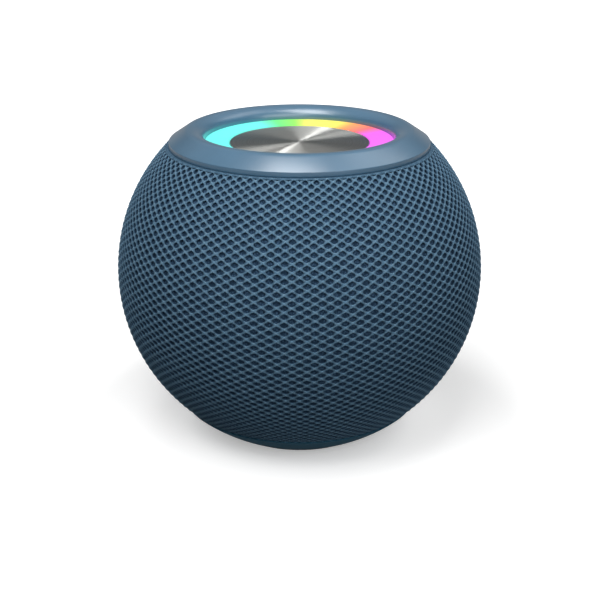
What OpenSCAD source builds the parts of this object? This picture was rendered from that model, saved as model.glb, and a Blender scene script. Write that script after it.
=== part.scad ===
// Ball-shaped smart speaker with a knitted cover, a light ring and a touch disc on top.
// Z points up, the table is at z = 0 and the ball's axis is the Z axis. The front faces -Y.

/* [Ball] */
// Diameter of the ball over its knitted cover
ball_d = 98; // [96:1:118]
// Thickness of the knitted cover
knit_t = 1.1; // [0.8:0.1:1.2]
// Diameter of the cover at its upper edge
cover_top_d = 70.4; // [70:0.2:72]
// Diameter of the cover at its lower edge
cover_low_d = 63; // [62:0.5:64]
// Height of the cover's lower edge over the table
cover_low_z = 7.9; // [7:0.1:9.5]

/* [Bezel] */
// Diameter of the bezel's outer edge
bezel_d = 68.6; // [68:0.2:70]
// Height of the upright skirt under the bezel's slope
skirt_h = 1.3; // [1:0.1:1.8]
// Height of the crest over the cover's upper edge
crest_h = 4.5; // [4:0.1:5.4]
// Diameter of the crest
crest_d = 57.4; // [56:0.2:58]
// Radius that rounds the crest's outer side
crest_round = 2.8; // [1.6:0.1:3]
// Diameter of the round opening inside the bezel
lip_d = 50; // [49.6:0.2:50.4]
// Radius that rounds the lip round the light
lip_round = 2.6; // [1:0.1:3]
// Height of the lip's underside over the cover's upper edge
lip_under = 0.6; // [0.5:0.05:0.8]
// Width of each snap hook
hook_w = 8; // [5:0.5:9]
// Thickness of a snap hook's leg and height of its barb
hook_t = 1.2; // [1:0.1:1.4]
// Depth of a snap hook below the cover's upper edge
hook_drop = 2.7; // [2.6:0.1:3]

/* [Light ring and disc] */
// Diameter of the touch disc
disc_d = 37; // [34:0.5:38]
// Thickness of the touch disc
disc_t = 1.2; // [0.8:0.1:1.6]
// Height of the disc's face over the cover's upper edge
disc_h = 0.66; // [0.5:0.02:0.8]
// Height of the light ring's outer edge over the cover's upper edge
ring_high = 1.1; // [0.9:0.05:1.3]
// Height of the light ring's inner edge over the cover's upper edge
ring_low = 0.81; // [0.7:0.01:0.9]
// Depth of the light ring's underside below the cover's upper edge
ring_under = 0.9; // [0.7:0.1:1.2]
// Depth of the light tray's underside below the cover's upper edge
tray_drop = 5.5; // [5:0.1:6]
// Thickness of the light tray's walls and floor
tray_t = 1; // [0.8:0.1:1.2]
// Number of lights in the ring
led_n = 12; // [8:2:16]
// Length of one light along the ring
led_w = 5; // [2.8:0.1:5.2]
// Clear space between a light and each wall of its channel
led_gap = 0.5; // [0.4:0.1:1.5]
// Height of one light
led_h = 1.2; // [0.8:0.1:1.6]
// Thickness of the touch board
touch_t = 0.8; // [0.6:0.1:1]
// Thickness of the board under the lights
led_board_t = 1; // [0.8:0.1:1.2]

/* [Housing] */
// Wall of the housings
wall = 2; // [1.6:0.1:2.4]
// Drop from the cover's upper edge to the deck under the boards
deck_drop = 9.9; // [9.4:0.1:10.4]
// Thickness of the deck
deck_t = 1.8; // [1.4:0.1:2]
// Clear height between the lower floor and the driver's flange
outlet_h = 12.5; // [12:0.5:14]
// Number of places round the sound outlet, four pairs of which stay closed for the screw wells
outlet_n = 36; // [32:4:40]
// Width of one sound outlet slot
outlet_w = 3.2; // [2.4:0.2:3.6]
// Thickness of the baffle plate
baffle_t = 2; // [1.6:0.1:2.4]
// Thickness of the sealing gasket
gasket_t = 0.8; // [0.6:0.1:1.2]
// Width of the flange inside the upper housing
flange_w = 5.6; // [5:0.2:6]
// Thickness of the flange inside the upper housing
flange_h = 2.5; // [2:0.1:3]
// Thickness of the lower housing's floor
floor_t = 2; // [1.8:0.1:2.4]
// Width of one slot of the guard in front of a radiator
guard_w = 4; // [3:0.5:4.5]
// Distance between those slots
guard_pitch = 5.6; // [5.2:0.1:5.7]

/* [Base] */
// Diameter of the base's upper rim
base_rim_d = 63.8; // [63.4:0.1:64.4]
// Diameter of the base's underside
base_foot_d = 42; // [40:0.5:44]
// Bulge of the base's side beyond a straight cone
base_bulge = 0.45; // [0.2:0.05:0.8]
// Wall of the base
base_wall = 1.8; // [1.4:0.1:2.2]
// Height that the rubber foot holds the base over the table
foot_lift = 0.6; // [0.4:0.1:1]
// Thickness of the rubber foot
foot_t = 1.4; // [1.2:0.1:1.8]
// Outer diameter of the rubber foot
foot_d = 40; // [38:0.5:40.5]
// Inner diameter of the rubber foot
foot_hole_d = 26; // [22:1:28]

/* [Rear panel] */
// Tilt of the panel below level
panel_tilt = 10; // [9:0.5:11]
// Length of the panel
panel_w = 36; // [35:0.5:38]
// Height of the panel
panel_h = 17; // [16.5:0.5:18]
// Distance from the ball's centre to the panel's flat back
panel_back = 41.5; // [41:0.1:41.8]
// Diameter of one button
button_d = 5.2; // [4.6:0.2:5.4]
// Distance between buttons
button_pitch = 7.4; // [7:0.1:7.6]
// Height of the buttons over the panel's middle
button_up = 2.9; // [2.7:0.1:3.1]
// How far a button stands out of the panel
button_proud = 0.6; // [0.3:0.1:1]
// Travel of a button
button_travel = 0.6; // [0.3:0.1:0.6]
// Width of the charging socket's steel shell
socket_w = 8.94; // [8.94:0.01:8.94]
// Height of the charging socket's steel shell
socket_h = 3.16; // [3.16:0.01:3.16]
// Drop of the charging socket below the panel's middle
socket_drop = 3.6; // [3.4:0.1:3.8]
// Length of the charging socket's steel shell
socket_l = 7.2; // [6.5:0.1:7.4]
// Wall of the panel
panel_t = 2.2; // [1.8:0.1:2.4]
// Thickness of the ledge that the panel sits on
ledge_t = 1.2; // [1:0.1:1.4]
// Distance of the panel's screws from its middle
panel_screw_x = 9.5; // [9.3:0.1:9.7]
// Distance of the status lens and the microphone from the panel's middle
lens_x = 6.2; // [6:0.1:6.4]

/* [Driver] */
// Diameter of the driver's flange
driver_d = 49.2; // [48.8:0.2:50]
// Thickness of the driver's flange
flange_t = 1.6; // [1.4:0.1:2]
// Width of the driver's rim round its rubber edge
driver_rim = 4.3; // [4.1:0.1:4.6]
// Depth of the cone
cone_depth = 4.9; // [4.5:0.1:5.3]
// Radius of the driver surround's half roll
roll_r = 2; // [1.8:0.1:2.1]
// Outer diameter of the voice coil's paper tube
coil_d = 13.4; // [13:0.1:13.6]
// Height of the basket behind the baffle's front face
basket_h = 11.2; // [10.8:0.1:11.6]
// Diameter of the ferrite ring magnet
magnet_d = 36; // [32:1:38]
// Clear height between the driver's yoke and the battery
yoke_gap = 0.8; // [0.5:0.1:2]
// Thickness of the steel top plate and of the yoke's plate
plate_t = 3; // [2.5:0.1:3]
// Diameter of the steel top plate
plate_d = 30; // [28:0.5:31]
// Diameter of the hole through the ring magnet
magnet_hole_d = 19; // [17:0.5:20]
// Diameter of the spider
spider_d = 27.6; // [27.2:0.1:27.8]

/* [Radiators] */
// Diameter of a passive radiator's frame
radiator_d = 36.4; // [35:0.2:36.6]
// Diameter of a radiator's plate
radiator_plate_d = 20.6; // [20:0.2:21]
// Radius of a radiator surround's half roll
radiator_roll_r = 2; // [1.8:0.1:2.1]
// Height of the radiators' axis over the ball's centre
radiator_up = 3.5; // [3.3:0.1:3.6]
// Distance from a radiator's seat to the inside of the housing's wall
radiator_depth = 7.1; // [6.8:0.1:7.4]

/* [Battery and boards] */
// Diameter of the battery cell
cell_d = 18.4; // [18:0.1:18.4]
// Length of the battery cell
cell_l = 65; // [50:1:66]
// Wall of the battery cradle
cradle_t = 1.5; // [1.2:0.1:2]
// Diameter of the main board
board_d = 59; // [56:1:59.4]
// Distance of each cradle band from the cell's middle
cradle_y = 24; // [22:0.5:28]
// Width of each cradle band
cradle_band = 5; // [3:0.5:6]
// Distance of the main board's screws from its middle
board_screw_r = 26; // [25:0.1:26.4]
// Thickness of the main board and of the button board
board_t = 1.2; // [0.8:0.1:1.2]
// Height of the posts under the main board
post_h = 1.4; // [1.2:0.1:1.6]

/* [Fits] */
// Gap between housing and cover, and round a loose piece
fit = 0.3; // [0.2:0.05:0.35]
// Gap round a button or a lens in the panel
slip = 0.2; // [0.15:0.05:0.25]
// Gap round a screw in its hole
screw_fit = 0.05; // [0.05:0.01:0.1]

/* [Hidden] */
$fn = 96;
// Small overlap that joins two shapes, and a length past everything
eps = 0.01;
far = 200;

// The ball and the housing's wall under its cover
ball_r = ball_d / 2;
centre_z = cover_low_z + sqrt(pow(ball_r, 2) - pow(cover_low_d / 2, 2));
rim_z = centre_z + sqrt(pow(ball_r, 2) - pow(cover_top_d / 2, 2));
shell_r = ball_r - knit_t - fit;
shell_in_r = shell_r - wall;

// Heights of the lower housing, from its floor up to the seal under the upper housing
floor_z = cover_low_z + floor_t;
flange_z = floor_z + outlet_h;
baffle_z = flange_z + flange_t;
split_z = baffle_z + baffle_t;
seal_z = split_z + gasket_t;

// The baffle plate, the ledge it lies on and the screw wells that pass through both
ledge_w = 3.4;
ledge_h = 1.6;
well_wall = 1.3;
baffle_r = inside_r(baffle_z) - fit;
ledge_in_r = baffle_r - ledge_w;
seal_out_r = baffle_r - 0.1;
well_at_r = baffle_r - 0.47 * ledge_w;
boss_r = 3;
boss_h = 6;

// Heights of the boards
deck_z = rim_z - deck_drop;
board_z = deck_z + post_h;
board_top = board_z + board_t;
tray_z = rim_z - tray_drop;
led_board_z = tray_z + tray_t;

// The light ring between the disc and the bezel, and the tray under it
disc_r = disc_d / 2;
disc_z = rim_z + disc_h - disc_t;
touch_z = disc_z - touch_t;
touch_r = disc_r - fit;
ring_lip = 1.9;
ring_in_r = disc_r + slip;
lip_r = lip_d / 2;
ring_face_r = lip_r - slip;
ring_out_r = lip_r + ring_lip;
pocket_r = ring_out_r + fit;
tray_rib_r = ring_in_r + 0.9;
tray_wall_r = ring_out_r - 1.3;
led_mid_r = (tray_rib_r + tray_wall_r) / 2;
led_across = tray_wall_r - tray_rib_r - 2 * led_gap;
ear_t = 1.5;
ear_at_r = pocket_r + ear_t;
mouth_r = max(inside_r(rim_z), ear_at_r + ear_t + slip);

// Four places at the corners, and four at the sides
corners = [45, 135, 225, 315];
sides = [0, 90, 180, 270];

// Screws, each with its shank radius, head radius, head height and shank length
tray_screw = [0.95, 1.7, 1.2, 4.8];
board_screw = [0.95, 1.7, 1.1, 4.2];
housing_screw = [1.25, 2, 1.4, 8.6];
driver_screw = [0.9, 1.4, 1.1, 4.8];
base_screw = [1.2, 1.9, 1, 7];
radiator_screw = [0.8, 1.3, 0.9, 4];
panel_screw = [0.85, 1.5, 1.1, 4.2];

// Where the screws stand
board_screw_angles = [0, 120, 240];
driver_screw_r = driver_d / 2 - 1.7;
base_screw_r = (foot_d + foot_hole_d) / 4;
base_screw_z = foot_t + base_screw[2] + 0.1;
radiator_screw_r = radiator_d / 2 - 1.4;
radiator_screw_angles = [30, 150, 270];

// Hole in the deck for the leads, their plugs on the main board, and the flat ribbon
lead_hole_y = -cell_l / 2 - 1.7;
lead_hole_r = 2.9;
plug_size = [4, 3, 1.2];
plug_y = -26.8;
ribbon_w = 8;
ribbon_t = 0.35;
ribbon_y = cell_l / 2 + 2.9;
ribbon_plug_y = 23.5;
link_size = [6, 2.4];

// The rear panel, from its face in to the board behind it
button_x = [for (i = [-1.5:1.5]) i * button_pitch];
panel_face_r = ball_r - slip;
panel_in_r = panel_face_r - panel_t;
button_board_y = panel_back - ledge_t;
button_foot_y = panel_back + 1.4;
panel_boss_r = 1.8;
lens_r = 0.75;

// The passive radiators, measured out along X
radiator_z = centre_z + radiator_up;
radiator_x = shell_in_r - radiator_depth;
radiator_frame_t = 2;
radiator_bore_r = radiator_d / 2 - 3;
radiator_skin_x = radiator_x - 1.1;
skin_lip = 0.9;

// The battery under the deck
cell_z = deck_z - deck_t - 0.4 - cell_d / 2;

// The driver, from its rubber edge up to its yoke, which ends under the battery
cone_r = driver_d / 2 - driver_rim - 2 * roll_r - 0.1;
coil_r = coil_d / 2;
coil_in_r = coil_r - 0.2;
pole_r = coil_in_r - 0.35;
gap_r = coil_r + 0.85;
skin_t = 0.5;
skin_z = flange_z + skin_t;
neck_z = skin_z + cone_depth;
roll_at_r = cone_r + 0.1 + roll_r;
basket_top = baffle_z + basket_h;
basket_t = 1.2;
basket_r = driver_d / 2 - 3.4;
basket_top_r = 16.6;
basket_hole_r = coil_r + 1.4;
magnet_z = basket_top + plate_t;
yoke_z = cell_z - cell_d / 2 - yoke_gap - plate_t;
spider_z = basket_top - 3.4;
spider_r = spider_d / 2;
terminal_x = 2.8;
terminal_y = -20.8;
tab_y = -22.4;

// Radius of the housing's inner wall at a height
function inside_r(z) = sqrt(pow(shell_in_r, 2) - pow(z - centre_z, 2));

// Radius of the housing's outer wall at a height
function outside_r(z) = sqrt(pow(shell_r, 2) - pow(z - centre_z, 2));

// Points of an arc about a centre, from one angle to another
function arc(c, r, a0, a1, n) = [for (i = [0:n]) c + r * [cos(a0 + (a1 - a0) * i / n),
    sin(a0 + (a1 - a0) * i / n)]];

function unit(v) = v / norm(v);

// Point on the smooth curve through p[i] and p[i + 1], a share t of the way along
function curve_point(p, i, t) =
    let (a = p[max(i - 1, 0)], b = p[i], c = p[i + 1], d = p[min(i + 2, len(p) - 1)])
    0.5 * (2 * b + (c - a) * t + (2 * a - 5 * b + 4 * c - d) * t * t
    + (3 * b - a - 3 * c + d) * t * t * t);

// A route's points with a few more between them, so that it bends smoothly
function smooth_route(p, n) = concat([for (i = [0:len(p) - 2]) for (k = [0:n - 1])
    curve_point(p, i, k / n)], [p[len(p) - 1]]);

// Direction of a route at its point i
function heading(p, i) = unit(p[min(i + 1, len(p) - 1)] - p[max(i - 1, 0)]);

// Ring of n points round point i of a route that never runs along X
function wire_ring(p, i, r, n) =
    let (t = heading(p, i), u = unit(cross(t, [1, 0, 0])), w = cross(t, u))
    [for (k = [0:n - 1]) p[i] + r * (cos(360 * k / n) * u + sin(360 * k / n) * w)];

// Round wire along a route
module wire(route, d) {
    sides = 8;
    p = smooth_route(route, 4);
    last = len(p) - 1;
    points = [for (i = [0:last]) each wire_ring(p, i, d / 2, sides)];
    walls = [for (i = [0:last - 1]) for (k = [0:sides - 1]) [i * sides + k,
        i * sides + (k + 1) % sides, (i + 1) * sides + (k + 1) % sides, (i + 1) * sides + k]];
    start = [for (k = [sides - 1:-1:0]) k];
    end = [for (k = [0:sides - 1]) last * sides + k];
    polyhedron(points, concat([start], walls, [end]));
}

// Flat ring between two radii and two heights
module band(r_out, r_in, z0, z1) {
    difference() {
        translate([0, 0, z0]) cylinder(r = r_out, h = z1 - z0);
        translate([0, 0, z0 - 1]) cylinder(r = r_in, h = z1 - z0 + 2);
    }
}

// Upright round post
module post(r, z0, z1) {
    translate([0, 0, z0]) cylinder(r = r, h = z1 - z0);
}

// Copies of a shape at a radius and a list of angles
module at_polar(r, angles) {
    for (a = angles) rotate([0, 0, a]) translate([r, 0, 0]) children();
}

// Screw whose head hangs under z = 0 and whose shank points up
module screw(s) {
    recess = 0.5 * s[2];
    difference() {
        union() {
            post(s[0], -eps, s[3]);
            post(s[1], -s[2], 0);
        }
        for (a = [0, 90]) rotate([0, 0, a])
            translate([-0.6 * s[1], -0.16 * s[1], -s[2] - eps])
            cube([1.2 * s[1], 0.32 * s[1], recess]);
    }
}

// Hole for such a screw's shank
module screw_hole(s) {
    post(s[0] + screw_fit, -1, s[3] + 0.4);
}

// Outline with straight long sides and round ends
module stadium(w, h) {
    square([w - h, h], center = true);
    for (s = [-1, 1]) translate([s * (w - h) / 2, 0]) circle(d = h);
}

// Prism of a 2D outline that runs outwards, along +Y, from y0 to y1
module outwards(y0, y1) {
    translate([0, y1, 0]) rotate([90, 0, 0]) linear_extrude(y1 - y0) children();
}

// Frame of the rear panel: its +Y points out of the panel's middle
module rear() {
    translate([0, 0, centre_z]) rotate([-panel_tilt, 0, 0]) children();
}

// Frame of the radiator on one side: +Z points out of the ball along X
module radiator_side(s) {
    translate([0, 0, radiator_z]) rotate([0, s * 90, 0]) children();
}

// Part of the ball between two heights and two radii
module ball_zone(r_out, r_in, z0, z1) {
    intersection() {
        translate([0, 0, centre_z]) difference() {
            sphere(r = r_out);
            sphere(r = r_in);
        }
        post(far, z0, z1);
    }
}

// ---------- Outside ----------

module fabric_cover() {
    color("#4a6b80") difference() {
        ball_zone(ball_r, ball_r - knit_t, cover_low_z, rim_z - eps);
        rear() outwards(panel_back, far) stadium(panel_w + 2 * fit, panel_h + 2 * fit);
    }
}

// Section of the bezel: skirt, outer slope, rounded crest, inner slope that steepens, and rounded lip
module bezel_section() {
    out_r = bezel_d / 2;
    top_r = crest_d / 2;
    round_c = [top_r, crest_h - crest_round];
    to_edge = [out_r, skirt_h] - round_c;
    slope_a = atan2(to_edge.y, to_edge.x) + acos(crest_round / norm(to_edge));
    steep_a = 43;
    dish_round = (top_r - lip_r - lip_round * (1 - sin(steep_a))) / sin(steep_a);
    dish_c = [top_r, crest_h - dish_round];
    lip_c = [lip_r + lip_round, crest_h - dish_round + (dish_round - lip_round) * cos(steep_a)];
    polygon(concat([[pocket_r, 0], [out_r, 0], [out_r, skirt_h]],
        arc(round_c, crest_round, slope_a, 86, 6), arc(dish_c, dish_round, 90, 90 + steep_a, 9),
        arc(lip_c, lip_round, 96 + steep_a, 180, 4),
        [[lip_r, lip_under], [pocket_r, lip_under]]));
}

// Hook that catches under the upper housing's rim
module bezel_hook() {
    out_r = sqrt(pow(mouth_r, 2) - pow(hook_w / 2, 2)) - slip;
    barb = 1.1;
    translate([out_r - hook_t, -hook_w / 2, -hook_drop]) {
        cube([hook_t, hook_w, hook_drop + eps]);
        cube([hook_t + barb, hook_w, hook_t]);
    }
}

module top_bezel() {
    screw_bite = 3;
    color("#5f84a0") translate([0, 0, rim_z]) difference() {
        union() {
            rotate_extrude() bezel_section();
            for (a = sides) rotate([0, 0, a]) bezel_hook();
        }
        at_polar(ear_at_r, corners) post(tray_screw[0] + screw_fit, -1, screw_bite);
    }
}

module light_ring() {
    gap = 0.1;
    color("#e8f4f4") translate([0, 0, rim_z]) rotate_extrude() polygon([
        [ring_in_r, -ring_under], [ring_out_r, -ring_under], [ring_out_r, lip_under - gap],
        [ring_face_r + gap / 2, lip_under - gap], [ring_face_r, ring_high], [ring_in_r, ring_low]]);
}

module touch_disc() {
    edge = 0.2;
    color("#9a9a98") translate([0, 0, disc_z]) rotate_extrude() polygon([
        [0, 0], [disc_r, 0], [disc_r, disc_t - edge], [disc_r - edge, disc_t], [0, disc_t]]);
}

module touch_board() {
    color("#1d5a3a") post(touch_r, touch_z, disc_z);
}

module light_tray() {
    top_z = rim_z - ring_under;
    seat_t = 1.2;
    rib_in_r = disc_r - 1;
    link = [4.8, 2.8];
    color("white") difference() {
        union() {
            band(ring_out_r, rib_in_r, tray_z, led_board_z);
            band(ring_out_r, tray_wall_r, tray_z, top_z);
            band(tray_rib_r, rib_in_r, tray_z, touch_z);
            band(tray_rib_r, touch_r + fit, tray_z, top_z);
            post(disc_r, touch_z - seat_t, touch_z);
            at_polar(ear_at_r, corners) {
                post(ear_t, top_z - ear_t, rim_z);
                translate([-1.6 * ear_t, -ear_t, top_z - ear_t]) cube([1.6 * ear_t, 2 * ear_t, 1.4]);
            }
        }
        at_polar(ear_at_r, corners) post(tray_screw[0] + 0.15, 0, far);
        translate([-link.x / 2, -link.y / 2, tray_z]) cube([link.x, link.y, far]);
        translate([-link_size.x / 2 - 0.4, -led_mid_r - link_size.y / 2 - 0.4, tray_z - 1])
            cube([link_size.x + 0.8, link_size.y + 0.8, tray_t + 2]);
    }
}

module led_board() {
    color("#f2f2ee") band(tray_wall_r - 0.1, tray_rib_r + 0.1, led_board_z, led_board_z + led_board_t);
}

module ring_leds() {
    color("#fff6c8") at_polar(led_mid_r, [for (i = [0:led_n - 1]) 360 * (i + 0.5) / led_n])
        translate([-led_across / 2, -led_w / 2, led_board_z + led_board_t])
        cube([led_across, led_w, led_h]);
}

module tray_screws() {
    color("#b8b8b8") at_polar(ear_at_r, corners)
        translate([0, 0, rim_z - ring_under - ear_t]) screw(tray_screw);
}

// ---------- Housings ----------

// Seat that carries a radiator, from its flat face out to the housing's wall
module radiator_turret(s) {
    intersection() {
        radiator_side(s) translate([0, 0, radiator_x]) cylinder(d = radiator_d, h = far);
        translate([0, 0, centre_z]) sphere(r = shell_r - eps);
    }
}

// Bore behind a radiator's guard, and the guard's upright slots
module radiator_cuts(s) {
    guard_edge = 0.7;
    screw_bite = 3;
    intersection() {
        radiator_side(s) translate([0, 0, radiator_x - 1]) cylinder(r = radiator_bore_r, h = far);
        translate([0, 0, centre_z]) sphere(r = shell_in_r);
    }
    intersection() {
        radiator_side(s) translate([0, 0, radiator_x]) cylinder(r = radiator_bore_r - guard_edge, h = far);
        for (i = [-2:2]) translate([s * far / 2, i * guard_pitch, radiator_z])
            cube([far, guard_w, far], center = true);
    }
    radiator_side(s) translate([0, 0, radiator_x])
        at_polar(radiator_screw_r, radiator_screw_angles)
        post(radiator_screw[0] + screw_fit, -1, screw_bite);
}

// Frame inside the housing that holds the rear panel and the button board
module panel_frame() {
    intersection() {
        rear() outwards(button_board_y, far) stadium(panel_w + 5, panel_h + 4);
        translate([0, 0, centre_z]) sphere(r = shell_r - eps);
    }
}

module upper_housing() {
    post_r = 2.2;
    ledge_in = 3;
    color("#23262b") difference() {
        union() {
            ball_zone(shell_r, shell_in_r, split_z, rim_z);
            intersection() {
                post(far, deck_z - deck_t, deck_z);
                translate([0, 0, centre_z]) sphere(r = shell_in_r + 1);
            }
            intersection() {
                band(far, inside_r(seal_z) - flange_w, seal_z, seal_z + flange_h);
                translate([0, 0, centre_z]) sphere(r = shell_in_r + 1);
            }
            at_polar(well_at_r, corners) post(boss_r, seal_z, seal_z + boss_h);
            at_polar(board_screw_r, board_screw_angles) post(post_r, deck_z - eps, board_z);
            for (s = [-1, 1]) radiator_turret(s);
            panel_frame();
        }
        post(mouth_r, tray_z, far);
        for (s = [-1, 1]) radiator_cuts(s);
        rear() {
            outwards(panel_back, far) stadium(panel_w + 2 * slip, panel_h + 2 * slip);
            outwards(0, panel_back + 1) stadium(panel_w - ledge_in, panel_h - ledge_in);
        }
        at_polar(well_at_r, corners) translate([0, 0, baffle_z - ledge_h]) screw_hole(housing_screw);
        at_polar(board_screw_r, board_screw_angles)
            post(board_screw[0] + screw_fit, board_top - board_screw[3] - 0.2, far);
        translate([0, lead_hole_y, 0]) post(lead_hole_r, deck_z - deck_t - 1, deck_z + 1);
        translate([-ribbon_w / 2 - 1, ribbon_y - 0.9, deck_z - deck_t - 1])
            cube([ribbon_w + 2, 1.8, deck_t + 2]);
    }
}

module lower_housing() {
    slot_z = floor_z + 1.6;
    slot_h = outlet_h - 3;
    well_r = housing_screw[1] + slip;
    step = 360 / outlet_n;
    color("#23262b") difference() {
        union() {
            ball_zone(shell_r, shell_in_r, cover_low_z, split_z);
            post(outside_r(cover_low_z) - 0.1, cover_low_z, floor_z);
            intersection() {
                union() {
                    band(far, ledge_in_r, baffle_z - ledge_h, baffle_z);
                    at_polar(well_at_r, corners) post(well_r + well_wall, floor_z, baffle_z);
                }
                translate([0, 0, centre_z]) sphere(r = shell_in_r + 1);
            }
        }
        for (i = [0:outlet_n - 1])
            if (abs(i * step % 90 - 45) > 0.8 * step)
            rotate([0, 0, i * step]) translate([20, -outlet_w / 2, slot_z])
            cube([far, outlet_w, slot_h]);
        at_polar(well_at_r, corners) post(well_r, -1, baffle_z - ledge_h);
        at_polar(well_at_r, corners) translate([0, 0, baffle_z - ledge_h]) screw_hole(housing_screw);
        at_polar(base_screw_r, sides) post(base_screw[0] + screw_fit, 0, floor_z - 0.2);
    }
}

module housing_gasket() {
    color("#111111") difference() {
        band(seal_out_r, ledge_in_r, split_z, seal_z);
        at_polar(well_at_r, corners) post(housing_screw[0] + screw_fit, 0, far);
    }
}

module housing_screws() {
    color("#b8b8b8") at_polar(well_at_r, corners) translate([0, 0, baffle_z - ledge_h])
        screw(housing_screw);
}

// Outline of the base's side, from its underside up to its rim, moved inwards by d
function base_side(d) = [for (i = [0:8]) let (t = i / 8)
    [base_foot_d / 2 + (base_rim_d - base_foot_d) / 2 * t + 4 * base_bulge * t * (1 - t) - d,
    foot_lift + (cover_low_z - foot_lift) * t - 2 * base_bulge * t * (1 - t)]];

module base_shell() {
    floor_top = foot_lift + base_wall + 0.2;
    rim_in_r = outside_r(cover_low_z) - 2.4;
    pillar_r = 2.8;
    groove_gap = 0.1;
    inner = [for (p = base_side(base_wall + 0.6)) if (p.y > floor_top) [min(p.x, rim_in_r), p.y]];
    color("#22384c") difference() {
        union() {
            rotate_extrude() difference() {
                polygon(concat([[0, foot_lift]], base_side(0), [[0, cover_low_z]]));
                polygon(concat([[0, floor_top], [inner[0].x - 0.6, floor_top]], inner,
                    [[rim_in_r, cover_low_z + 1], [0, cover_low_z + 1]]));
            }
            at_polar(base_screw_r, sides) post(pillar_r, floor_top - eps, cover_low_z);
        }
        band(foot_d / 2 + groove_gap, foot_hole_d / 2 - groove_gap, -1, foot_t);
        at_polar(base_screw_r, sides) {
            post(base_screw[1] + slip, 0, base_screw_z);
            post(base_screw[0] + screw_fit, 0, far);
        }
    }
}

module base_screws() {
    color("#b8b8b8") at_polar(base_screw_r, sides)
        translate([0, 0, base_screw_z]) screw(base_screw);
}

module foot_pad() {
    color("#17191c") band(foot_d / 2, foot_hole_d / 2, 0, foot_t);
}

// ---------- Boards ----------

module main_board() {
    color("#1d5a3a") difference() {
        post(board_d / 2, board_z, board_top);
        at_polar(board_screw_r, board_screw_angles) post(board_screw[0] + 0.15, 0, far);
    }
}

module processor_shield() {
    size = [17, 12, 2.4];
    sheet = 0.2;
    color("#c4c6c8") translate([-size.x / 2, 3, board_top]) difference() {
        cube(size);
        translate([sheet, sheet, -eps]) cube(size - [2 * sheet, 2 * sheet, sheet]);
    }
}

// Each chip's corner on the board and its size
chips = [
    [[-6, 4.5], [8, 8, 1]],
    [[3.4, 5], [4, 6, 0.9]],
    [[-13, -7], [6, 6, 0.9]],
    [[6.5, -4.5], [5, 4, 0.8]],
    [[-23.5, 2], [4, 5, 0.8]],
    [[20, 5.5], [3, 3, 0.8]]];

module board_chips() {
    color("#1a1a1c") for (c = chips) translate([c[0].x, c[0].y, board_top]) cube(c[1]);
}

// Middle of each capacitor on the board
capacitor_at = [[-4, -9.5], [2, -11], [11.5, -9.5], [-9.5, -11.5]];

module board_capacitors() {
    color("#8a8f96") for (p = capacitor_at) translate([p.x, p.y, 0])
        post(2, board_top, board_top + 3.8);
}

// Headers up to the touch board and the light board, and the plugs of the ribbon and the leads
module board_connectors() {
    header = [4, 2];
    color("#ece8dc") {
        translate([-header.x / 2, -header.y / 2, board_top])
            cube([header.x, header.y, touch_z - board_top]);
        translate([-link_size.x / 2, -led_mid_r - link_size.y / 2, board_top])
            cube([link_size.x, link_size.y, led_board_z - board_top]);
        translate([-ribbon_w / 2 - 1, ribbon_plug_y, board_top]) cube([ribbon_w + 2, 3.5, 1.2]);
        for (x = [-7.5, 3.5]) translate([x, plug_y, board_top]) cube(plug_size);
    }
}

module board_screws() {
    color("#b8b8b8") at_polar(board_screw_r, board_screw_angles)
        translate([0, 0, board_top]) rotate([180, 0, 0]) screw(board_screw);
}

// ---------- Battery and wiring ----------

module battery_cell() {
    cap_t = 0.9;
    cap_d = 9;
    color("#3f7fbf") translate([0, 0, cell_z]) {
        outwards(-cell_l / 2, cell_l / 2 - cap_t) circle(d = cell_d);
        outwards(cell_l / 2 - cap_t - eps, cell_l / 2) circle(d = cap_d);
    }
}

module battery_cradle() {
    in_r = cell_d / 2 + 0.2;
    out_r = in_r + cradle_t;
    top = deck_z - deck_t - cell_z;
    rail_h = 3;
    color("#2c2f33") translate([0, 0, cell_z]) for (s = [-1, 1]) difference() {
        union() {
            outwards(s * cradle_y - cradle_band / 2, s * cradle_y + cradle_band / 2) union() {
                circle(r = out_r);
                translate([-out_r, 0]) square([2 * out_r, top]);
            }
            if (s == 1) for (k = [-1, 1])
                translate([k * (out_r - cradle_t / 2), 0, top - rail_h / 2])
                cube([cradle_t, 2 * cradle_y, rail_h], center = true);
        }
        outwards(-far / 2, far / 2) union() {
            circle(r = in_r);
            translate([-in_r, 0]) square([2 * in_r, far]);
        }
    }
}

// Last stretch of a lead: up through the deck's hole and over the board's edge to its plug
function lead_top(hole_x, plug_x) = [[hole_x, lead_hole_y, deck_z - 3],
    [hole_x, lead_hole_y, deck_z + 0.5], [hole_x, lead_hole_y + 1.2, board_top + 0.9],
    [(hole_x + plug_x) / 2, lead_hole_y + 4.2, board_top + 1.2],
    [plug_x, plug_y - 0.9, board_top + 0.6], [plug_x, plug_y - 0.15, board_top + 0.6]];

// Both leads run from the cell's end up through the deck
module battery_leads() {
    cell_y = -cell_l / 2;
    color("#b02a2a") for (x = [[3.8, 0.75, 4.6], [6, 2.05, 6.4]])
        wire(concat([[x[0], cell_y - 0.15, cell_z - 4], [x[0], cell_y - 0.9, cell_z - 4],
            [x[0], lead_hole_y, cell_z - 1]], lead_top(x[1], x[2])), 1);
}

// Both leads run from the driver's terminals, round the battery's end and up through the deck
module speaker_leads() {
    tab_z = basket_top + 1.15;
    color("#222222") for (x = [[-terminal_x, -2, -6.4], [terminal_x, -0.65, -4.6]])
        wire(concat([[x[0], tab_y - 0.2, tab_z], [x[0], tab_y - 3, tab_z + 0.3], [x[0], -31, tab_z + 4],
            [x[0], lead_hole_y - 1.6, cell_z - 10], [x[1], lead_hole_y - 1.8, cell_z - 3]],
            lead_top(x[1], x[2])), 0.9);
}

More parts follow.
